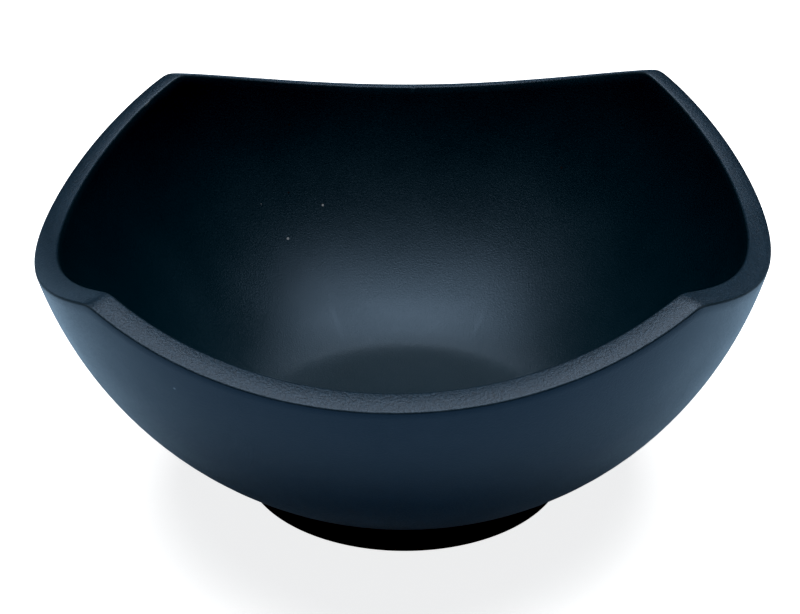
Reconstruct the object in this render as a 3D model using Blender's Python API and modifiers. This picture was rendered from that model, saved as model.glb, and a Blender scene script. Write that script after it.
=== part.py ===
"""Hair color bowl: a soft bowl with a four-point scalloped rim, on a round foot with a non-slip ring.

Metres, +Z up. The origin is the centre of the circle that the bowl rests on, and the rim's
four points lie on the diagonals between the X and Y axes.
"""

import math

import bmesh
import bpy

MM = 0.001
GAP = 0.3 * MM  # clearance between pieces that touch

# Bowl wall, measured on its outer face
POINT_RADIUS = 75.0 * MM  # axis to the rim at one of its four points
POINT_HEIGHT = 65.9 * MM
DIP_DEPTH = 10.8 * MM  # rim point down to the middle of a side
WALL = 4.8 * MM
SIDE_FLATNESS = 0.022  # how much nearer the axis a side's middle is than a point, at the top
PROFILE_CENTRE = 79.3 * MM  # height of the centre of the wall's elliptical profile
PROFILE_DEPTH = 81.3 * MM  # that ellipse's upright half axis

# Bowl bottom
FOOT_RADIUS = 33.1 * MM  # at its bottom; its side leans out to the seam
FOOT_SEAM = 6.3 * MM  # height at which the wall meets the foot
UNDERSIDE = 3.9 * MM  # height of the bowl's flat underside, inside the foot
FLOOR_HEIGHT = 10.4 * MM  # flat floor inside the bowl
FLOOR_ROOT_RADIUS = 32.5 * MM  # the floor's edge, buried in the wall
FLOOR_ROOT = 7.4 * MM

# Button under the bowl that holds the foot
STEM_RADIUS = 20.0 * MM
LIP_RADIUS = 22.0 * MM
LIP_TOP = 1.5 * MM
LIP_BOTTOM = 0.7 * MM

# Foot and its non-slip ring
FOOT_BOTTOM = 0.4 * MM
FOOT_EDGE_ROUND = 0.5 * MM
GRIP_INNER = 26.5 * MM
GRIP_OUTER = 30.5 * MM
GRIP_TOP = 1.8 * MM

SEGMENTS = 80  # round the axis, a multiple of 8 so that every rim point has a vertex
BOTTOM_RINGS = 3
BEND_RINGS = 4
WALL_RINGS = 10
ARC_STEPS = 4
MERGE = 0.01 * MM
RING_MERGE = 0.01  # while the rings still stand a whole unit apart
HEIGHT_PASSES = 12  # rounds that settle the rim's height against the wall's radius
SHARP_ANGLE = math.radians(35)

POINT_ACROSS = POINT_RADIUS * math.sin(math.pi / 4)
DIP_ARC_RADIUS = (POINT_ACROSS**2 + DIP_DEPTH**2) / (2 * DIP_DEPTH)


def profile_share(height):
    """The wall profile's distance from the axis at a height, as a share of the ellipse's half width."""
    return math.sqrt(1 - ((PROFILE_CENTRE - height) / PROFILE_DEPTH) ** 2)


def wall_radius(height, angle):
    """Distance from the axis to the wall's outer face."""
    round_radius = POINT_RADIUS * profile_share(height) / profile_share(POINT_HEIGHT)
    toward_side = (1 + math.cos(4 * angle)) / 2
    return round_radius * (1 - SIDE_FLATNESS * toward_side * height / POINT_HEIGHT)


def rim_height(angle):
    """Height of the rim's outer edge: on each side it follows an arc, and two arcs meet in a point."""
    quarter = math.pi / 2
    from_side = (angle + quarter / 2) % quarter - quarter / 2
    height = POINT_HEIGHT
    for _ in range(HEIGHT_PASSES):
        across = wall_radius(height, angle) * math.sin(from_side)
        sag = DIP_ARC_RADIUS - math.sqrt(DIP_ARC_RADIUS**2 - across**2)
        height = POINT_HEIGHT - DIP_DEPTH + sag
    return height


def bend():
    """(start radius, radius of curvature, slope) of the arc that turns the flat underside into the wall."""
    step = 0.1 * MM
    run = wall_radius(FOOT_SEAM + step, math.pi / 4) - wall_radius(FOOT_SEAM - step, math.pi / 4)
    slope = math.atan2(2 * step, run)
    curvature = (FOOT_SEAM - UNDERSIDE) / (1 - math.cos(slope))
    start = wall_radius(FOOT_SEAM, math.pi / 4) - curvature * math.sin(slope)
    return start, curvature, slope


def bottom_profile():
    """(radius, height) points of the bowl's outer face from the axis out to the foot's seam."""
    start, curvature, slope = bend()
    flat = [(start * i / BOTTOM_RINGS, UNDERSIDE) for i in range(BOTTOM_RINGS)]
    arc = []
    for i in range(BEND_RINGS + 1):
        turned = slope * i / BEND_RINGS
        arc.append((start + curvature * math.sin(turned), UNDERSIDE + curvature * (1 - math.cos(turned))))
    return flat + arc


def outer_point(ring, angle):
    """(radius, height) of the bowl's outer face on one ring of the mesh, at one angle."""
    bottom = bottom_profile()
    if ring < len(bottom):
        return bottom[ring]
    share = (ring - len(bottom) + 1) / WALL_RINGS
    height = FOOT_SEAM + share * (rim_height(angle) - FOOT_SEAM)
    return wall_radius(height, angle), height


def collection(name):
    made = bpy.data.collections.new(name)
    bpy.context.scene.collection.children.link(made)
    return made


def material(name, color, roughness):
    made = bpy.data.materials.new(name)
    made.use_nodes = True
    shader = made.node_tree.nodes["Principled BSDF"]
    shader.inputs["Base Color"].default_value = (*color, 1)
    shader.inputs["Roughness"].default_value = roughness
    shader.inputs["Metallic"].default_value = 0
    made.diffuse_color = (*color, 1)
    return made


def add_object(name, mesh, home, finish=None):
    part = bpy.data.objects.new(name, mesh)
    home.objects.link(part)
    if finish:
        mesh.materials.append(finish)
    mesh.shade_smooth()
    mesh.set_sharp_from_angle(angle=SHARP_ANGLE)
    return part


def outer_face_mesh(name):
    """The bowl's outer face as an open surface: a line spun into a disc, then raised ring by ring."""
    rings = len(bottom_profile()) + WALL_RINGS
    shape = bmesh.new()
    line = [shape.verts.new((ring, 0, 0)) for ring in range(rings)]
    for inner, outer in zip(line, line[1:]):
        shape.edges.new((inner, outer))
    bmesh.ops.spin(
        shape,
        geom=shape.verts[:] + shape.edges[:],
        cent=(0, 0, 0),
        axis=(0, 0, 1),
        angle=math.tau,
        steps=SEGMENTS,
        use_merge=True,
    )
    bmesh.ops.remove_doubles(shape, verts=shape.verts[:], dist=RING_MERGE)
    for vertex in shape.verts:
        angle = math.atan2(vertex.co.y, vertex.co.x)
        radius, height = outer_point(round(math.hypot(vertex.co.x, vertex.co.y)), angle)
        vertex.co = (radius * math.cos(angle), radius * math.sin(angle), height)
    bmesh.ops.recalc_face_normals(shape, faces=shape.faces[:])
    if min(shape.faces, key=lambda face: face.calc_center_median().z).normal.z > 0:
        bmesh.ops.reverse_faces(shape, faces=shape.faces[:])
    mesh = bpy.data.meshes.new(name)
    shape.to_mesh(mesh)
    shape.free()
    return mesh


def turned(name, profile, home, finish=None):
    """A turned solid. Its profile runs from the top down the outer side."""
    mesh = bpy.data.meshes.new(name)
    edges = [(i, i + 1) for i in range(len(profile) - 1)]
    if profile[0][0] > 0:
        edges.append((len(profile) - 1, 0))
    mesh.from_pydata([(radius, 0, height) for radius, height in profile], edges, [])
    part = add_object(name, mesh, home, finish)
    screw = part.modifiers.new("Turn", "SCREW")
    screw.steps = SEGMENTS
    screw.render_steps = SEGMENTS
    screw.use_merge_vertices = True
    screw.merge_threshold = MERGE
    screw.use_smooth_shade = True
    return part


def bowl_shell(home, cutters, finish):
    shell = add_object("bowl_shell", outer_face_mesh("bowl_shell"), home, finish)
    wall = shell.modifiers.new("Wall", "SOLIDIFY")
    wall.thickness = WALL
    wall.offset = -1
    wall.use_even_offset = True

    floor_and_button = turned(
        "floor_and_button",
        [
            (0, FLOOR_HEIGHT),
            (FLOOR_ROOT_RADIUS, FLOOR_HEIGHT),
            (FLOOR_ROOT_RADIUS, FLOOR_ROOT),
            (STEM_RADIUS, FLOOR_ROOT),
            (STEM_RADIUS, LIP_TOP),
            (LIP_RADIUS, LIP_TOP),
            (LIP_RADIUS - (LIP_TOP - LIP_BOTTOM), LIP_BOTTOM),
            (0, LIP_BOTTOM),
        ],
        cutters,
    )
    floor_and_button.hide_render = True
    floor_and_button.display_type = "WIRE"
    join = shell.modifiers.new("Floor and button", "BOOLEAN")
    join.operation = "UNION"
    join.object = floor_and_button


def foot(home, finish):
    start, curvature, slope = bend()
    seat = []
    for i in range(ARC_STEPS + 1):
        turned_by = slope * i / ARC_STEPS
        seat.append(
            (
                start + curvature * math.sin(turned_by),
                UNDERSIDE + curvature * (1 - math.cos(turned_by)) - GAP / math.cos(turned_by),
            )
        )
    outer_edge = []
    for i in range(ARC_STEPS + 1):
        turned_by = math.pi / 2 * i / ARC_STEPS
        outer_edge.append(
            (
                FOOT_RADIUS - FOOT_EDGE_ROUND * (1 - math.cos(turned_by)),
                FOOT_BOTTOM + FOOT_EDGE_ROUND * (1 - math.sin(turned_by)),
            )
        )
    groove = [
        (GRIP_OUTER + GAP, FOOT_BOTTOM),
        (GRIP_OUTER + GAP, GRIP_TOP + GAP),
        (GRIP_INNER - GAP, GRIP_TOP + GAP),
        (GRIP_INNER - GAP, FOOT_BOTTOM),
    ]
    hole = [
        (LIP_RADIUS + GAP, FOOT_BOTTOM),
        (LIP_RADIUS + GAP, LIP_TOP + GAP),
        (STEM_RADIUS + GAP, LIP_TOP + GAP),
        (STEM_RADIUS + GAP, UNDERSIDE - GAP),
    ]
    turned("foot", [*seat, *outer_edge, *groove, *hole], home, finish)


def grip_ring(home, finish):
    turned(
        "grip_ring",
        [(GRIP_OUTER, GRIP_TOP), (GRIP_OUTER, 0), (GRIP_INNER, 0), (GRIP_INNER, GRIP_TOP)],
        home,
        finish,
    )


def main():
    for old in list(bpy.data.objects):
        bpy.data.objects.remove(old, do_unlink=True)
    parts = collection("hair_color_bowl")
    cutters = collection("cutters")
    silicone = material("blue_black_silicone", (0.012, 0.020, 0.028), 0.5)
    foot_plastic = material("black_plastic", (0.004, 0.004, 0.005), 0.55)
    grip_rubber = material("grip_rubber", (0.02, 0.02, 0.021), 0.8)
    bowl_shell(parts, cutters, silicone)
    foot(parts, foot_plastic)
    grip_ring(parts, grip_rubber)


main()
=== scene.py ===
"""Hair color bowl: a soft blue-black bowl with a four-point scalloped rim, on a pale studio floor.

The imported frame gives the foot, the ring under it and the places of all three pieces. The bowl's
curved wall, its rim and the fine edges are modelled here at full smoothness.
"""

import math

import bpy
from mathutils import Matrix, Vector


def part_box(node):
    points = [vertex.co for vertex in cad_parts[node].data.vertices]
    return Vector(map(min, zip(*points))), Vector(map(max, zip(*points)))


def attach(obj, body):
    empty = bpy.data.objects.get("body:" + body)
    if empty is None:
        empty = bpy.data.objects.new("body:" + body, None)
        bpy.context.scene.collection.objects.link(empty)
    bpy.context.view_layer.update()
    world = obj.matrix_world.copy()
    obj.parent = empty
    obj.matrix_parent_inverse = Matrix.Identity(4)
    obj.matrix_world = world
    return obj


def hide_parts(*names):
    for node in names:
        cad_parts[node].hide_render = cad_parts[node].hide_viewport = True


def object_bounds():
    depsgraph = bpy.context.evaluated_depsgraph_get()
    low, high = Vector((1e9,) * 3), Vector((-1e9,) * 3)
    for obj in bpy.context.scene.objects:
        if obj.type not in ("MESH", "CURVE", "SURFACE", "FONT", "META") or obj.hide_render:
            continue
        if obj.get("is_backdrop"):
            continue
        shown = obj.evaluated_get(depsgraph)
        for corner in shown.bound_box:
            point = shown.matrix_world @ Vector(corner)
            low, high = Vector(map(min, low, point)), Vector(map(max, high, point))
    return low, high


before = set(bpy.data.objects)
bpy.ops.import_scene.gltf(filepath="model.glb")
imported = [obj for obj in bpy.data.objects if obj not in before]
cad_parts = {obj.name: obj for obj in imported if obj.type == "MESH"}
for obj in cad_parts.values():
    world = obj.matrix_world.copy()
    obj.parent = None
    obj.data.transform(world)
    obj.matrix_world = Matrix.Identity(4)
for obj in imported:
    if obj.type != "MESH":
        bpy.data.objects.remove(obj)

bl_info = {
    "name": "Hair Color Bowl",
    "version": (1, 0, 0),
    "blender": (4, 5, 0),
    "location": "View3D > Sidebar > Color Bowl",
    "description": "Builds a salon hair color bowl and its studio",
    "category": "Add Mesh",
}

MM = 0.001
MERIDIANS = 480  # round the axis, a multiple of 8 so that each rim point has a vertex
WALL_RINGS = 26
BEND_RINGS = 6
CENTRE = (0, 0, 0)
UP = (0, 0, 1)
SAME_PLACE = 0.000002
RIM_GRAINS = 1900.0  # grains per metre along the rim's face
RIM_RELIEF = 4.5  # how much deeper the grain is on the rim's face
HEIGHT_PASSES = 12  # rounds that settle the rim's height against the wall's radius
SHARP_ANGLE = math.radians(35)  # faces that meet at more than this keep a crisp edge
ROUNDED_ANGLE = math.radians(32)  # edges sharper than this are rounded


def length(name, description, default):
    return bpy.props.FloatProperty(
        name=name, description=description, default=default, unit="LENGTH", precision=5
    )


def share(name, description, default, highest=1.0):
    return bpy.props.FloatProperty(
        name=name, description=description, default=default, min=0, max=highest, subtype="FACTOR", precision=4
    )


def tint(name, description, default):
    return bpy.props.FloatVectorProperty(
        name=name, description=description, default=default, size=3, min=0, max=1, subtype="COLOR"
    )


def angle(name, description, degrees):
    return bpy.props.FloatProperty(
        name=name, description=description, default=math.radians(degrees), subtype="ANGLE"
    )


def power(name, description, default):
    return bpy.props.FloatProperty(name=name, description=description, default=default, min=0, unit="POWER")


class ShellSettings(bpy.types.PropertyGroup):
    """Sizes and finish of the bowl itself."""

    point_radius: length("Point radius", "Axis to the outer edge of a rim point", 75.0 * MM)
    point_height: length("Point height", "Height of a rim point's outer edge", 65.9 * MM)
    dip_depth: length("Dip depth", "How far each side's middle lies below the points", 10.8 * MM)
    wall: length("Wall", "Thickness of the wall", 4.8 * MM)
    side_flatness: share("Side flatness", "How much nearer the axis a side's middle is than a point", 0.022)
    profile_centre: length(
        "Profile centre", "Height of the centre of the wall's elliptical profile", 79.3 * MM
    )
    profile_depth: length("Profile depth", "Upright half axis of that ellipse", 81.3 * MM)
    underside: length("Underside", "Height of the flat underside inside the foot", 3.9 * MM)
    seam: length("Seam", "Height at which the wall meets the foot", 6.3 * MM)
    floor_height: length(
        "Inner floor", "Height that the inner floor settles towards below its bend", 10.1 * MM
    )
    floor_blend: length("Floor blend", "How softly the wall runs into that floor", 1.6 * MM)
    point_round: length("Point round", "How softly two dips meet in a rim point", 0.7 * MM)
    lean: share("Lean", "How much higher the soft rim stands on its right, most of all behind", 0.0046, 0.05)
    out_of_round: share("Out of round", "Stretch of the soft rim along one diagonal", 0.0165, 0.05)
    edge_round: length("Edge round", "Radius of the rim's edges", 0.5 * MM)
    color: tint("Color", "Blue-black of the silicone", (0.0016, 0.0088, 0.0146))
    # Paler rim face: partly its own grainier finish, partly a painted highlight on the upward-facing rim.
    rim_color: tint("Rim tone and highlight", "Slightly paler tone of the rim's face", (0.003, 0.012, 0.021))
    gloss_color: tint("Gloss tint", "Tint of the light that the surface reflects", (0.5, 0.72, 1.0))


class FootSettings(bpy.types.PropertyGroup):
    """Sizes and finish of the foot, its button and the ring under it."""

    bottom_radius: length("Bottom radius", "Radius of the foot at its bottom edge", 33.1 * MM)
    stem_radius: length(
        "Stem radius", "Radius of the bowl's button where it passes through the foot", 20.0 * MM
    )
    lip_radius: length("Lip radius", "Radius of the button's lip under the foot", 22.0 * MM)
    lip_top: length("Lip top", "Height of the upper side of the button's lip", 1.5 * MM)
    lip_bottom: length("Lip bottom", "Height of the button's lower face", 0.7 * MM)
    clearance: length("Clearance", "Gap between pieces that touch", 0.3 * MM)
    edge_round: length("Edge round", "Radius of the foot's edges", 0.45 * MM)
    color: tint("Foot color", "Black of the foot", (0.010, 0.012, 0.016))
    grip_color: tint("Ring color", "Dark grey of the non-slip ring", (0.018, 0.018, 0.019))


class StudioSettings(bpy.types.PropertyGroup):
    """Camera, lights and floor."""

    turn: angle("Turn", "How far round the bowl the camera stands", 1.1)
    elevation: angle("Elevation", "How far above the floor the camera looks from", 28.45)
    distance: length("Distance", "Camera to the middle of the bowl", 0.4456)
    aim_height: length("Aim height", "Height that the camera aims at", 35.2 * MM)
    aim_depth: length("Aim depth", "How far behind the axis the camera aims", 2.8 * MM)
    aim_side: length("Aim side", "How far to the left of the axis the camera aims", 0.97 * MM)
    focal_length: bpy.props.FloatProperty(
        name="Focal length", description="Focal length of the camera in millimetres", default=99.5
    )
    key_power: power("Key light", "Power of the softbox above the bowl", 11.4)
    rim_power: power("Rim light", "Power of the narrow softbox above and behind the bowl", 3.5)
    ambient: share("Ambient", "Strength of the room's light", 0.015)
    floor_color: tint("Floor color", "Pale tone of the floor", (0.93, 0.935, 0.94))
    bounce_color: tint(
        "Bounce color", "Tone of the light that the floor throws back at the bowl", (0.48, 0.72, 0.96)
    )
    bounce_glow: share("Bounce glow", "Light that the shadowed floor still throws back at the bowl", 0.075)
    floor_glow: share("Floor glow", "Light through the floor, which keeps the shadow pale", 0.9)


# Modelling helpers


def nothing_selected():
    if bpy.context.object and bpy.context.object.mode != "OBJECT":
        bpy.ops.object.mode_set(mode="OBJECT")
    bpy.ops.object.select_all(action="DESELECT")


def named(name):
    piece = bpy.context.object
    piece.name = name
    piece.data.name = name
    return piece


def edit(piece):
    nothing_selected()
    bpy.context.view_layer.objects.active = piece
    piece.select_set(True)
    bpy.ops.object.mode_set(mode="EDIT")
    bpy.ops.mesh.select_all(action="DESELECT")


def select_faces(piece, wanted):
    """In edit mode, selects only the faces that the test accepts."""
    bpy.ops.mesh.select_all(action="DESELECT")
    bpy.ops.object.mode_set(mode="OBJECT")
    for face in piece.data.polygons:
        face.select = wanted(face)
    bpy.ops.object.mode_set(mode="EDIT")
    bpy.ops.mesh.select_mode(type="FACE")


def select_edges(piece, wanted):
    """In edit mode, selects only the edges whose two ends the test accepts."""
    bpy.ops.mesh.select_mode(type="EDGE")
    bpy.ops.mesh.select_all(action="DESELECT")
    bpy.ops.object.mode_set(mode="OBJECT")
    mesh = piece.data
    for edge in mesh.edges:
        edge.select = all(wanted(mesh.vertices[i].co) for i in edge.vertices)
    bpy.ops.object.mode_set(mode="EDIT")


def apply_modifier(piece, name, kind, **settings):
    nothing_selected()
    bpy.context.view_layer.objects.active = piece
    piece.select_set(True)
    modifier = piece.modifiers.new(name, kind)
    for setting, value in settings.items():
        setattr(modifier, setting, value)
    bpy.ops.object.modifier_apply(modifier=name)


def finish_piece(piece, node, finish):
    """Smooth shading, material, and the piece's place in the frame."""
    nothing_selected()
    bpy.context.view_layer.objects.active = piece
    piece.select_set(True)
    bpy.ops.object.shade_smooth_by_angle(angle=SHARP_ANGLE)
    bpy.ops.object.transform_apply(location=True, rotation=True, scale=True)
    piece.data.materials.clear()
    piece.data.materials.append(finish)
    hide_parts(node)
    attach(piece, "root")
    nothing_selected()


def distance_from_axis(place):
    return math.hypot(place[0], place[1])


# The bowl's shape


def profile_share(shell, height):
    """Distance of the wall's profile from the axis, as a share of the ellipse's half width."""
    return math.sqrt(1 - ((shell.profile_centre - height) / shell.profile_depth) ** 2)


def wall_radius(shell, height, around):
    """Distance of the wall's outer face from the axis."""
    widest = shell.point_radius / profile_share(shell, shell.point_height)
    toward_side = (1 + math.cos(4 * around)) / 2
    flattened = 1 - shell.side_flatness * toward_side * height / shell.point_height
    return widest * profile_share(shell, height) * flattened


def rim_height(shell, around):
    """Height of the rim's outer edge: an arc along each side, meeting the next one in a soft point."""
    across_point = shell.point_radius * math.sin(math.pi / 4)
    arc_radius = (across_point**2 + shell.dip_depth**2) / (2 * shell.dip_depth)
    quarter = math.pi / 2
    from_side = (around + quarter / 2) % quarter - quarter / 2
    lowest = shell.point_height - shell.dip_depth + arc_radius
    height = shell.point_height
    for _ in range(HEIGHT_PASSES):
        radius = wall_radius(shell, height, around)
        own, next_one = (
            lowest - math.sqrt(arc_radius**2 - (radius * math.sin(turned)) ** 2)
            for turned in (abs(from_side), quarter - abs(from_side))
        )
        height = (own + next_one - math.hypot(own - next_one, shell.point_round)) / 2
    return height


def bottom_bend(shell):
    """(start radius, radius of curvature, slope) of the arc from the flat underside up to the wall."""
    step = 0.1 * MM
    point_way = math.pi / 4
    run = wall_radius(shell, shell.seam + step, point_way) - wall_radius(shell, shell.seam - step, point_way)
    slope = math.atan2(2 * step, run)
    curvature = (shell.seam - shell.underside) / (1 - math.cos(slope))
    start = wall_radius(shell, shell.seam, point_way) - curvature * math.sin(slope)
    return start, curvature, slope


def round_profile(shell, stem_radius):
    """(radius, height) of each ring of a plain round bowl, from the button outwards."""
    start, curvature, slope = bottom_bend(shell)
    rings = [(stem_radius, shell.underside)]
    for i in range(BEND_RINGS + 1):
        turned = slope * i / BEND_RINGS
        rise = curvature * (1 - math.cos(turned))
        rings.append((start + curvature * math.sin(turned), shell.underside + rise))
    for i in range(1, WALL_RINGS + 1):
        height = shell.seam + (shell.point_height - shell.seam) * i / WALL_RINGS
        rings.append((wall_radius(shell, height, math.pi / 4), height))
    return rings


def lower_to_scallops(piece, shell):
    """Brings the round wall down to the scalloped rim, and in to its flatter sides."""
    for vertex in piece.data.vertices:
        if vertex.co.z < shell.seam + SAME_PLACE:
            continue
        around = math.atan2(vertex.co.y, vertex.co.x)
        rise = (vertex.co.z - shell.seam) / (shell.point_height - shell.seam)
        height = shell.seam + rise * (rim_height(shell, around) - shell.seam)
        radius = wall_radius(shell, height, around)
        vertex.co = (radius * math.cos(around), radius * math.sin(around), height)


def flatten_floor(piece, shell):
    """Raises the bottom of the inside to its flat floor, which the wall runs into along a soft bend."""
    for vertex in piece.data.vertices:
        z = vertex.co.z
        inside = vertex.normal.z > 0 and distance_from_axis(vertex.co) < shell.point_radius / 2
        if inside:
            apart = z - shell.floor_height
            vertex.co.z = (z + shell.floor_height + math.hypot(apart, shell.floor_blend)) / 2


def mark_rim_face(piece, shell):
    """An attribute that is 1 on the flat face along the rim and 0 elsewhere, for the finish."""
    lowest_rim = shell.point_height - shell.dip_depth - shell.wall
    on_rim = piece.data.attributes.new("rim_face", "FLOAT", "FACE")
    for face in piece.data.polygons:
        upward = face.normal.z > math.cos(SHARP_ANGLE)
        on_rim.data[face.index].value = float(upward and face.center.z > lowest_rim)


def relax_out_of_round(piece, shell):
    """The soft rim stands slightly wider along one diagonal, and higher at one of that diagonal's ends."""
    across_point = shell.point_radius * math.sin(math.pi / 4)
    for vertex in piece.data.vertices:
        x, y, z = vertex.co
        softness = (max(z, 0) / shell.point_height) ** 1.5
        give = shell.out_of_round * softness
        lift = shell.lean * softness * x * (1 + y / across_point)
        vertex.co = (x + give * y, y + give * x, z + lift)


class BOWL_OT_shell(bpy.types.Operator):
    """Model the bowl with its scalloped rim and the button that holds the foot"""

    bl_idname = "color_bowl.shell"
    bl_label = "Bowl"

    def execute(self, context):
        shell, foot = context.scene.bowl_shell, context.scene.bowl_foot
        rings = round_profile(shell, foot.stem_radius)
        radius, height = rings[0]
        nothing_selected()
        bpy.ops.mesh.primitive_circle_add(
            vertices=MERIDIANS, radius=radius, fill_type="TRIFAN", location=CENTRE
        )
        piece = named("bowl")
        edit(piece)
        bpy.ops.mesh.select_all(action="SELECT")
        bpy.ops.transform.translate(value=(0, 0, height))
        select_edges(piece, lambda co: distance_from_axis(co) > radius - SAME_PLACE)
        for next_radius, next_height in rings[1:]:
            bpy.ops.mesh.extrude_edges_move()
            bpy.ops.transform.translate(value=(0, 0, next_height - height))
            grow = next_radius / radius
            bpy.ops.transform.resize(value=(grow, grow, 1), center_override=CENTRE)
            radius, height = next_radius, next_height
        bpy.ops.mesh.select_all(action="SELECT")
        bpy.ops.mesh.remove_doubles(threshold=SAME_PLACE)
        bpy.ops.mesh.normals_make_consistent(inside=False)
        bpy.ops.object.mode_set(mode="OBJECT")
        lowest = min(piece.data.polygons, key=lambda face: face.center.z)
        if lowest.normal.z > 0:
            edit(piece)
            bpy.ops.mesh.select_all(action="SELECT")
            bpy.ops.mesh.flip_normals()
            bpy.ops.object.mode_set(mode="OBJECT")
        lower_to_scallops(piece, shell)
        apply_modifier(piece, "Wall", "SOLIDIFY", thickness=shell.wall, offset=-1, use_even_offset=True)
        flatten_floor(piece, shell)
        self.add_button(piece, shell, foot)
        apply_modifier(
            piece,
            "Soft edges",
            "BEVEL",
            width=shell.edge_round,
            segments=3,
            limit_method="ANGLE",
            angle_limit=ROUNDED_ANGLE,
            harden_normals=True,
        )
        mark_rim_face(piece, shell)
        relax_out_of_round(piece, shell)
        finish_piece(piece, "bowl_shell", silicone(shell))
        return {"FINISHED"}

    def add_button(self, piece, shell, foot):
        """Draws the button down out of the underside, and widens it into its lip."""
        edit(piece)
        select_faces(
            piece,
            lambda face: face.normal.z < -0.9
            and face.center.z < shell.underside + SAME_PLACE
            and distance_from_axis(face.center) < foot.stem_radius,
        )
        neck = shell.underside - foot.lip_top
        bpy.ops.mesh.extrude_region_move(TRANSFORM_OT_translate={"value": (0, 0, -neck)})
        bpy.ops.mesh.extrude_region_move()
        flare = foot.lip_radius / foot.stem_radius
        bpy.ops.transform.resize(value=(flare, flare, 1), center_override=CENTRE)
        bpy.ops.mesh.extrude_region_move(
            TRANSFORM_OT_translate={"value": (0, 0, foot.lip_bottom - foot.lip_top)}
        )
        taper = (foot.lip_radius - foot.lip_top + foot.lip_bottom) / foot.lip_radius
        bpy.ops.transform.resize(value=(taper, taper, 1), center_override=CENTRE)
        bpy.ops.object.mode_set(mode="OBJECT")


def turned_piece(name, outline, edge_round):
    """A closed outline of (radius, height) points spun round the axis, with its edges rounded."""
    nothing_selected()
    bpy.ops.mesh.primitive_circle_add(vertices=len(outline), radius=1, fill_type="NOTHING", location=CENTRE)
    piece = named(name)
    for vertex, (radius, height) in zip(piece.data.vertices, outline):
        vertex.co = (radius, 0, height)
    edit(piece)
    bpy.ops.mesh.select_all(action="SELECT")
    bpy.ops.mesh.spin(steps=MERIDIANS, angle=math.tau, center=CENTRE, axis=UP)
    bpy.ops.mesh.select_all(action="SELECT")
    bpy.ops.mesh.remove_doubles(threshold=SAME_PLACE)
    bpy.ops.mesh.normals_make_consistent(inside=False)
    bpy.ops.object.mode_set(mode="OBJECT")
    apply_modifier(
        piece,
        "Soft edges",
        "BEVEL",
        width=edge_round,
        segments=4,
        limit_method="ANGLE",
        angle_limit=ROUNDED_ANGLE,
        harden_normals=True,
    )
    return piece


class BOWL_OT_foot(bpy.types.Operator):
    """Model the round foot, with its seat for the bowl, the hole for the button and the ring's groove"""

    bl_idname = "color_bowl.foot"
    bl_label = "Foot"

    def execute(self, context):
        shell, foot = context.scene.bowl_shell, context.scene.bowl_foot
        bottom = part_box("foot")[0].z
        grip_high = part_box("grip_ring")[1]
        start, curvature, slope = bottom_bend(shell)
        gap = foot.clearance
        seat = []
        for i in range(BEND_RINGS + 1):
            turned = slope * i / BEND_RINGS
            rise = curvature * (1 - math.cos(turned)) - gap / math.cos(turned)
            seat.append((start + curvature * math.sin(turned), shell.underside + rise))
        grip_inner = grip_inner_radius()
        below = [
            (foot.bottom_radius, bottom),
            (grip_high.x + gap, bottom),
            (grip_high.x + gap, grip_high.z + gap),
            (grip_inner - gap, grip_high.z + gap),
            (grip_inner - gap, bottom),
            (foot.lip_radius + gap, bottom),
            (foot.lip_radius + gap, foot.lip_top + gap),
            (foot.stem_radius + gap, foot.lip_top + gap),
            (foot.stem_radius + gap, shell.underside - gap),
        ]
        piece = turned_piece("round_foot", seat + below, foot.edge_round)
        finish_piece(piece, "foot", foot_black(foot))
        return {"FINISHED"}


def grip_inner_radius():
    """Inner radius of the non-slip ring in the frame."""
    return min(distance_from_axis(vertex.co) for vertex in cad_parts["grip_ring"].data.vertices)


class BOWL_OT_grip(bpy.types.Operator):
    """Model the non-slip ring that the bowl rests on"""

    bl_idname = "color_bowl.grip"
    bl_label = "Non-slip ring"

    def execute(self, context):
        foot = context.scene.bowl_foot
        low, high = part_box("grip_ring")
        inner = grip_inner_radius()
        outline = [(high.x, high.z), (high.x, low.z), (inner, low.z), (inner, high.z)]
        piece = turned_piece("non_slip_ring", outline, foot.edge_round)
        finish_piece(piece, "grip_ring", grip_rubber(foot))
        return {"FINISHED"}


# Finishes


def add_node(tree, kind, label="", **values):
    node = tree.nodes.new(kind)
    node.label = label
    for name, value in values.items():
        if name in node.inputs:
            node.inputs[name].default_value = value
        else:
            setattr(node, name, value)
    return node


def new_group(name, inputs, outputs):
    group = bpy.data.node_groups.new(name, "ShaderNodeTree")
    for socket, kind, value in inputs:
        made = group.interface.new_socket(socket, in_out="INPUT", socket_type=kind)
        made.default_value = value
    for socket, kind in outputs:
        group.interface.new_socket(socket, in_out="OUTPUT", socket_type=kind)
    return group, group.nodes.new("NodeGroupInput"), group.nodes.new("NodeGroupOutput")


def mix_color(tree, factor, first, second):
    """A colour mix; each argument is a socket or a value."""
    node = tree.nodes.new("ShaderNodeMix")
    node.data_type = "RGBA"
    for socket, value in ((node.inputs[0], factor), (node.inputs[6], first), (node.inputs[7], second)):
        if isinstance(value, bpy.types.NodeSocket):
            tree.links.new(value, socket)
        else:
            socket.default_value = value
    return node.outputs[2]


def math_node(tree, operation, *values, clamp=False):
    node = tree.nodes.new("ShaderNodeMath")
    node.operation = operation
    node.use_clamp = clamp
    for socket, value in zip(node.inputs, values):
        if isinstance(value, bpy.types.NodeSocket):
            tree.links.new(value, socket)
        else:
            socket.default_value = value
    return node.outputs[0]


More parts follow.
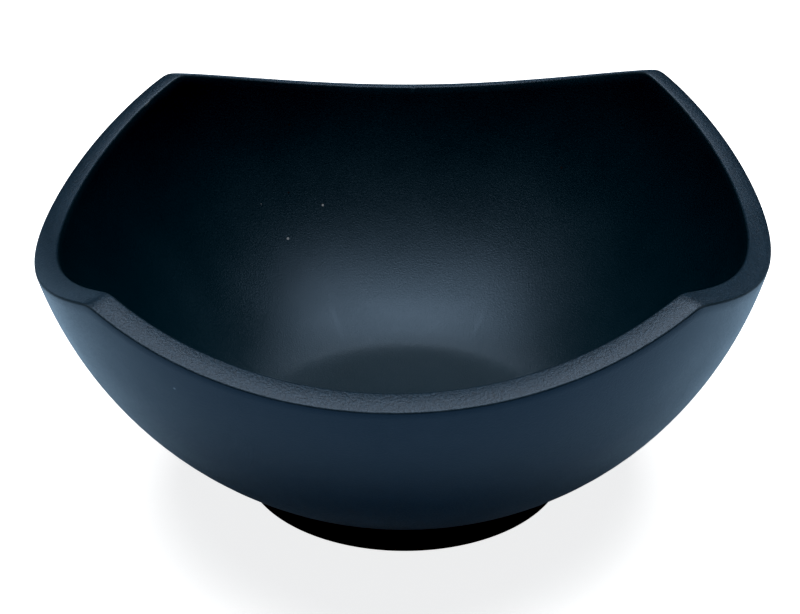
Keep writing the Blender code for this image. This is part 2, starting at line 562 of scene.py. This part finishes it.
def moulded_grain_group():
    """Fine grain and broad cloudiness of a moulded surface, in real sizes."""
    name = "Moulded grain"
    if name in bpy.data.node_groups:
        return bpy.data.node_groups[name]
    group, given, made = new_group(
        name,
        [
            ("Color", "NodeSocketColor", (0.5, 0.5, 0.5, 1)),
            ("Roughness", "NodeSocketFloat", 0.5),
            ("Grains per Metre", "NodeSocketFloat", 3000.0),
            ("Grain Tone", "NodeSocketFloat", 0.3),
            ("Cloud Tone", "NodeSocketFloat", 0.2),
        ],
        [("Color", "NodeSocketColor"), ("Roughness", "NodeSocketFloat"), ("Height", "NodeSocketFloat")],
    )
    links = group.links
    place = group.nodes.new("ShaderNodeTexCoord").outputs["Object"]
    grain = add_node(group, "ShaderNodeTexNoise", "Grain", Detail=3.0, Roughness=0.62)
    links.new(place, grain.inputs["Vector"])
    links.new(given.outputs["Grains per Metre"], grain.inputs["Scale"])
    cloud = add_node(group, "ShaderNodeTexNoise", "Clouds", Scale=55.0, Detail=4.0, Roughness=0.55)
    links.new(place, cloud.inputs["Vector"])
    grain_off = math_node(group, "SUBTRACT", grain.outputs["Fac"], 0.5)
    cloud_off = math_node(group, "SUBTRACT", cloud.outputs["Fac"], 0.5)
    grain_part = math_node(group, "MULTIPLY", grain_off, given.outputs["Grain Tone"])
    cloud_part = math_node(group, "MULTIPLY", cloud_off, given.outputs["Cloud Tone"])
    tone = math_node(group, "ADD", math_node(group, "ADD", grain_part, cloud_part), 1.0)
    scaled = group.nodes.new("ShaderNodeVectorMath")
    scaled.operation = "SCALE"
    links.new(given.outputs["Color"], scaled.inputs[0])
    links.new(tone, scaled.inputs["Scale"])
    links.new(scaled.outputs[0], made.inputs["Color"])
    rough_part = math_node(group, "MULTIPLY", cloud_off, 0.18)
    rough_grain = math_node(group, "MULTIPLY", grain_off, 0.3)
    uneven = math_node(group, "ADD", rough_part, rough_grain)
    rough = math_node(group, "ADD", uneven, given.outputs["Roughness"])
    links.new(rough, made.inputs["Roughness"])
    links.new(grain.outputs["Fac"], made.inputs["Height"])
    return group


def dust_group():
    """Sparse pale and dark specks of dust."""
    name = "Dust specks"
    if name in bpy.data.node_groups:
        return bpy.data.node_groups[name]
    group, given, made = new_group(
        name,
        [
            ("Color", "NodeSocketColor", (0.5, 0.5, 0.5, 1)),
            ("Pale Dust", "NodeSocketColor", (0.14, 0.155, 0.17, 1)),
            ("Dark Dust", "NodeSocketColor", (0.002, 0.002, 0.003, 1)),
            ("Amount", "NodeSocketFloat", 0.1),
        ],
        [("Color", "NodeSocketColor"), ("Mask", "NodeSocketFloat")],
    )
    links = group.links
    place = group.nodes.new("ShaderNodeTexCoord").outputs["Object"]
    cells = add_node(group, "ShaderNodeTexVoronoi", "Specks", Scale=150.0, Randomness=1.0)
    links.new(place, cells.inputs["Vector"])
    split = group.nodes.new("ShaderNodeSeparateColor")
    links.new(cells.outputs["Color"], split.inputs[0])
    speck_size = math_node(group, "MULTIPLY", split.outputs["Green"], 0.05)
    inside = math_node(group, "LESS_THAN", cells.outputs["Distance"], speck_size)
    chosen = math_node(group, "LESS_THAN", split.outputs["Red"], given.outputs["Amount"])
    mask = math_node(group, "MULTIPLY", inside, chosen)
    is_dark = math_node(group, "GREATER_THAN", split.outputs["Blue"], 0.45)
    dust = mix_color(group, is_dark, given.outputs["Pale Dust"], given.outputs["Dark Dust"])
    links.new(mix_color(group, mask, given.outputs["Color"], dust), made.inputs["Color"])
    links.new(mask, made.inputs["Mask"])
    return group


def edge_wear_and_highlight_group():
    """Paler sharp edges: partly wear from handling, partly a painted highlight where the rounded edges catch
    the light.
    """
    name = "Rubbed edges"
    if name in bpy.data.node_groups:
        return bpy.data.node_groups[name]
    group, given, made = new_group(
        name,
        [
            ("Color", "NodeSocketColor", (0.5, 0.5, 0.5, 1)),
            # Paler edge colour: wear, and a painted highlight along the rounded edges.
            ("Wear and Highlight Color", "NodeSocketColor", (0.1, 0.12, 0.14, 1)),
            ("Amount", "NodeSocketFloat", 0.5),
        ],
        [("Color", "NodeSocketColor")],
    )
    links = group.links
    bend = group.nodes.new("ShaderNodeNewGeometry").outputs["Pointiness"]
    # Painted highlight and wear: convex edges found by pointiness turn paler.
    edge = math_node(group, "MULTIPLY", math_node(group, "SUBTRACT", bend, 0.52), 9.0, clamp=True)
    place = group.nodes.new("ShaderNodeTexCoord").outputs["Object"]
    patches = add_node(group, "ShaderNodeTexNoise", "Patches", Scale=400.0, Detail=2.0)
    links.new(place, patches.inputs["Vector"])
    broken = math_node(group, "MULTIPLY", edge, patches.outputs["Fac"])
    factor = math_node(group, "MULTIPLY", broken, given.outputs["Amount"], clamp=True)
    worn_and_highlit = mix_color(group, factor, given.outputs["Color"], given.outputs["Wear and Highlight Color"])
    links.new(worn_and_highlit, made.inputs["Color"])
    return group


def placed(tree, group, **values):
    node = tree.nodes.new("ShaderNodeGroup")
    node.node_tree = group
    for name, value in values.items():
        node.inputs[name.replace("_", " ")].default_value = value
    return node


def finish_material(name, color, rough, grain, cloud, grains, bump, dust, wear_and_highlight, **shader_values):
    """A moulded finish: grain and clouds, paler sharp edges from wear and a painted highlight, then dust on
    top.
    """
    material = bpy.data.materials.new(name)
    material.use_nodes = True
    tree = material.node_tree
    shader = tree.nodes["Principled BSDF"]
    for socket, value in shader_values.items():
        shader.inputs[socket.replace("_", " ")].default_value = value
    surface = placed(tree, moulded_grain_group(), Color=(*color, 1), Roughness=rough)
    surface.inputs["Grains per Metre"].default_value = grains
    surface.inputs["Grain Tone"].default_value = grain
    surface.inputs["Cloud Tone"].default_value = cloud
    edges = placed(tree, edge_wear_and_highlight_group(), Amount=wear_and_highlight)
    specks = placed(tree, dust_group(), Amount=dust)
    tree.links.new(surface.outputs["Color"], edges.inputs["Color"])
    tree.links.new(edges.outputs["Color"], specks.inputs["Color"])
    tree.links.new(specks.outputs["Color"], shader.inputs["Base Color"])
    dull = math_node(tree, "MAXIMUM", surface.outputs["Roughness"], specks.outputs["Mask"])
    tree.links.new(dull, shader.inputs["Roughness"])
    relief = add_node(tree, "ShaderNodeBump", "Grain relief", Strength=1.0, Distance=bump)
    tree.links.new(surface.outputs["Height"], relief.inputs["Height"])
    tree.links.new(relief.outputs["Normal"], shader.inputs["Normal"])
    material.diffuse_color = (*color, 1)
    return material


def silicone(shell):
    """The moulded silicone, rougher and grainier on the rim's face, and paler there: partly the face's own
    finish, partly a painted highlight on the upward-facing rim.
    """
    material = finish_material(
        "Blue-black silicone",
        shell.color,
        rough=0.38,
        grain=0.5,
        cloud=0.25,
        grains=2900.0,
        bump=0.05 * MM,
        dust=0.22,
        # Paler edges on the silicone: a painted highlight along the rim's edges, with some wear.
        wear_and_highlight=0.8,
        IOR=1.37,
        Specular_Tint=(*shell.gloss_color, 1),
        Coat_Roughness=0.42,
        Coat_Tint=(*shell.gloss_color, 1),
    )
    tree = material.node_tree
    shader = tree.nodes["Principled BSDF"]
    rim = add_node(tree, "ShaderNodeAttribute", "Rim face", attribute_name="rim_face").outputs["Fac"]
    # Painted highlight and own tone: the upward rim face takes the paler colour.
    face = placed(tree, moulded_grain_group(), Color=(*shell.rim_color, 1), Grains_per_Metre=RIM_GRAINS)
    face.inputs["Grain Tone"].default_value = 2.2
    face.inputs["Cloud Tone"].default_value = 0.4
    color = shader.inputs["Base Color"].links[0].from_socket
    tree.links.new(mix_color(tree, rim, color, face.outputs["Color"]), shader.inputs["Base Color"])
    relief = shader.inputs["Normal"].links[0].from_node
    height = relief.inputs["Height"].links[0].from_socket
    plain = math_node(tree, "MULTIPLY", height, math_node(tree, "SUBTRACT", 1.0, rim))
    coarse = math_node(tree, "MULTIPLY", face.outputs["Height"], math_node(tree, "MULTIPLY", rim, RIM_RELIEF))
    tree.links.new(math_node(tree, "ADD", plain, coarse), relief.inputs["Height"])
    rough = shader.inputs["Roughness"].links[0].from_socket
    duller = math_node(tree, "MULTIPLY", rim, 0.05)
    tree.links.new(math_node(tree, "ADD", rough, duller), shader.inputs["Roughness"])
    tree.links.new(math_node(tree, "MULTIPLY", rim, 0.14), shader.inputs["Coat Weight"])
    return material


def foot_black(foot):
    return finish_material(
        "Black foot plastic",
        foot.color,
        rough=0.6,
        grain=0.5,
        cloud=0.3,
        grains=1800.0,
        bump=0.02 * MM,
        dust=0.03,
        wear_and_highlight=0.2,
        Specular_IOR_Level=0.3,
    )


def grip_rubber(foot):
    return finish_material(
        "Non-slip rubber",
        foot.grip_color,
        rough=0.82,
        grain=0.6,
        cloud=0.4,
        grains=1500.0,
        bump=0.05 * MM,
        dust=0.1,
        wear_and_highlight=0.5,
        Specular_IOR_Level=0.35,
    )


# The studio


def aimed_at(place, target):
    return (Vector(target) - Vector(place)).to_track_quat("-Z", "Y").to_euler()


def round_the_bowl(turn, elevation, distance, target):
    """A place seen from the target at this turn (from the front) and elevation."""
    flat = distance * math.cos(elevation)
    away = Vector((flat * math.sin(turn), -flat * math.cos(turn), distance * math.sin(elevation)))
    return Vector(target) + away


def add_softbox(name, turn, elevation, distance, width, depth, watts, target):
    place = round_the_bowl(turn, elevation, distance, target)
    bpy.ops.object.light_add(type="AREA", location=place, rotation=aimed_at(place, target))
    light = bpy.context.object
    light.name = name
    light.data.shape = "RECTANGLE"
    light.data.size = width
    light.data.size_y = depth
    light.data.energy = watts


def floor_material(studio):
    """Pale and softly lit from below where it is seen; the bowl gets a dimmer, cooler bounce from it."""
    material = bpy.data.materials.new("Pale studio floor")
    material.use_nodes = True
    tree = material.node_tree
    shader = tree.nodes["Principled BSDF"]
    shader.inputs["Specular IOR Level"].default_value = 0.1
    surface = placed(tree, moulded_grain_group(), Color=(*studio.floor_color, 1), Roughness=0.85)
    surface.inputs["Grains per Metre"].default_value = 900.0
    surface.inputs["Grain Tone"].default_value = 0.01
    surface.inputs["Cloud Tone"].default_value = 0.01
    seen = tree.nodes.new("ShaderNodeLightPath").outputs["Is Camera Ray"]
    color = mix_color(tree, seen, (*studio.bounce_color, 1), surface.outputs["Color"])
    tree.links.new(color, shader.inputs["Base Color"])
    tree.links.new(surface.outputs["Roughness"], shader.inputs["Roughness"])
    glow = mix_color(
        tree,
        seen,
        (*(studio.bounce_glow * tone for tone in studio.bounce_color), 1),
        (*(studio.floor_glow * tone for tone in studio.floor_color), 1),
    )
    tree.links.new(glow, shader.inputs["Emission Color"])
    shader.inputs["Emission Strength"].default_value = 1.0
    return material


def room_light(studio):
    """A dim even room; past the floor's edge the camera sees the floor's own tone."""
    world = bpy.data.worlds.new("Studio room")
    bpy.context.scene.world = world
    world.use_nodes = True
    tree = world.node_tree
    tree.nodes.clear()
    seen = add_node(tree, "ShaderNodeBackground", "Seen", Color=(*studio.floor_color, 1), Strength=1.0)
    felt = add_node(tree, "ShaderNodeBackground", "Felt", Color=(0.86, 0.93, 1, 1), Strength=studio.ambient)
    path = tree.nodes.new("ShaderNodeLightPath")
    mixed = tree.nodes.new("ShaderNodeMixShader")
    output = tree.nodes.new("ShaderNodeOutputWorld")
    tree.links.new(path.outputs["Is Camera Ray"], mixed.inputs[0])
    tree.links.new(felt.outputs[0], mixed.inputs[1])
    tree.links.new(seen.outputs[0], mixed.inputs[2])
    tree.links.new(mixed.outputs[0], output.inputs["Surface"])


class BOWL_OT_studio(bpy.types.Operator):
    """Set up the floor, the lights and the camera"""

    bl_idname = "color_bowl.studio"
    bl_label = "Studio"

    def execute(self, context):
        studio = context.scene.bowl_studio
        low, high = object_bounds()
        middle = (0, 0, (low[2] + high[2]) / 2)
        nothing_selected()
        bpy.ops.mesh.primitive_plane_add(size=8, location=(0, 0, low[2] - 0.05 * MM))
        floor = named("studio_floor")
        edit(floor)
        bpy.ops.mesh.select_all(action="SELECT")
        bpy.ops.mesh.subdivide(number_cuts=3)
        bpy.ops.object.mode_set(mode="OBJECT")
        floor.data.materials.append(floor_material(studio))
        floor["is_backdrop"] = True
        degree = math.radians(1)
        add_softbox("Softbox above", 0, 88 * degree, 0.85, 0.95, 0.46, studio.key_power, middle)
        add_softbox("Softbox behind", 180 * degree, 60 * degree, 1.1, 0.9, 0.2, studio.rim_power, middle)
        room_light(studio)
        self.add_camera(context, studio)
        view = context.scene.view_settings
        view.view_transform = "Standard"
        view.use_curve_mapping = True
        view.curve_mapping.black_level = (0.0025, 0.0048, 0.007)
        return {"FINISHED"}

    def add_camera(self, context, studio):
        target = (-studio.aim_side, studio.aim_depth, studio.aim_height)
        place = round_the_bowl(studio.turn, studio.elevation, studio.distance, target)
        bpy.ops.object.camera_add(location=place, rotation=aimed_at(place, target))
        camera = context.object
        camera.name = "Studio camera"
        camera.data.lens = studio.focal_length
        camera.data.clip_start = 0.01
        camera.data.clip_end = 50
        context.scene.camera = camera


class BOWL_PT_panel(bpy.types.Panel):
    """The bowl's pieces and studio, in the order in which they are built"""

    bl_label = "Hair Color Bowl"
    bl_space_type = "VIEW_3D"
    bl_region_type = "UI"
    bl_category = "Color Bowl"

    def draw(self, context):
        for group in (context.scene.bowl_shell, context.scene.bowl_foot, context.scene.bowl_studio):
            box = self.layout.box()
            for name in group.__annotations__:
                box.prop(group, name)
        for operator in OPERATORS:
            self.layout.operator(operator.bl_idname)


OPERATORS = (BOWL_OT_shell, BOWL_OT_foot, BOWL_OT_grip, BOWL_OT_studio)
CLASSES = (ShellSettings, FootSettings, StudioSettings, *OPERATORS, BOWL_PT_panel)
SETTINGS = {"bowl_shell": ShellSettings, "bowl_foot": FootSettings, "bowl_studio": StudioSettings}


def register():
    for each in CLASSES:
        bpy.utils.register_class(each)
    for name, settings in SETTINGS.items():
        setattr(bpy.types.Scene, name, bpy.props.PointerProperty(type=settings))


def unregister():
    for name in SETTINGS:
        delattr(bpy.types.Scene, name)
    for each in reversed(CLASSES):
        bpy.utils.unregister_class(each)


def main():
    register()
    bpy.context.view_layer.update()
    bpy.ops.color_bowl.shell()
    bpy.ops.color_bowl.foot()
    bpy.ops.color_bowl.grip()
    bpy.ops.color_bowl.studio()


if __name__ == "__main__":
    main()
